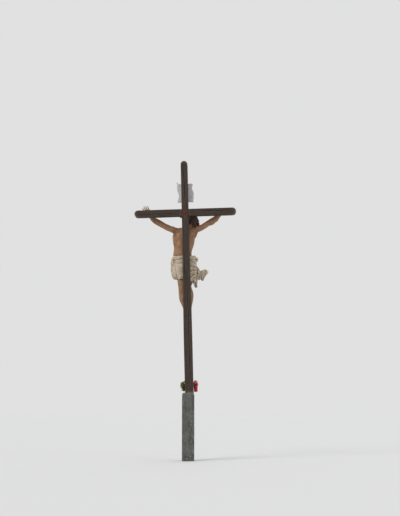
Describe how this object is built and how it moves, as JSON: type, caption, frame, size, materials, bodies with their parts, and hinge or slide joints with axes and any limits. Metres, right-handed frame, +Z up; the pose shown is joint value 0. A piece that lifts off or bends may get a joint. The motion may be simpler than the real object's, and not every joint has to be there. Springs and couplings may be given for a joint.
{
  "type": "wayside cross",
  "caption": "Roadside cross: a tall timber post and beam on a square stone pillar, with a painted cast figure, a title scroll, an iron holder, a vigil light and a flower vase.",
  "frame": {"origin": "middle of the stone pillar's foot, at ground level", "axes": "+Z up; the figure faces -Y and its left hand points to +X; the cross above the pillar leans 1.4 degrees towards +X"},
  "size_m": [1.6664, 0.4724, 4.8498],
  "materials": {
    "stone": "weathered grey stone with lichen",
    "mortar": "rough mortar",
    "timber": "dark stained, weathered",
    "bolt_iron": "rusty",
    "scroll_paint": "weathered white paint",
    "flesh_paint": "weathered flesh paint over cast metal",
    "hair_paint": "weathered brown paint",
    "thorn_paint": "dark paint",
    "cloth_paint": "weathered off-white paint",
    "nail_iron": "dark iron",
    "holder_iron": "black paint with rust",
    "jar_plastic": "translucent red",
    "lid_plastic": "translucent pale red",
    "wax": "wax",
    "vase_plastic": "dark green",
    "stem_plastic": "green",
    "petal_fabric": "white and yellow-green"
  },
  "bodies": {
    "root": {"base_pillar": "stone", "mortar_bed": "mortar", "cross_post": "timber", "cross_beam": "timber", "lap_bolt": "bolt_iron", "lap_washer": "bolt_iron", "lap_nut": "bolt_iron", "beam_wedge": "timber", "title_scroll": "scroll_paint", "scroll_screws": "bolt_iron", "torso": "flesh_paint", "head": "flesh_paint", "hair_and_beard": "hair_paint", "crown_of_thorns": "thorn_paint", "right_arm": "flesh_paint", "left_arm": "flesh_paint", "right_hand": "flesh_paint", "left_hand": "flesh_paint", "loincloth": "cloth_paint", "cloth_knot": "cloth_paint", "right_leg": "flesh_paint", "left_leg": "flesh_paint", "hand_nail_right": "nail_iron", "hand_nail_left": "nail_iron", "foot_nail": "nail_iron", "holder_bar": "holder_iron", "holder_ring_right": "holder_iron", "holder_ring_left": "holder_iron", "holder_screws": "bolt_iron", "light_jar": "jar_plastic", "light_lid": "lid_plastic", "candle": "wax", "flower_vase": "vase_plastic", "flower_stems": "stem_plastic", "flower_heads": "petal_fabric"}
  },
  "joints": []
}
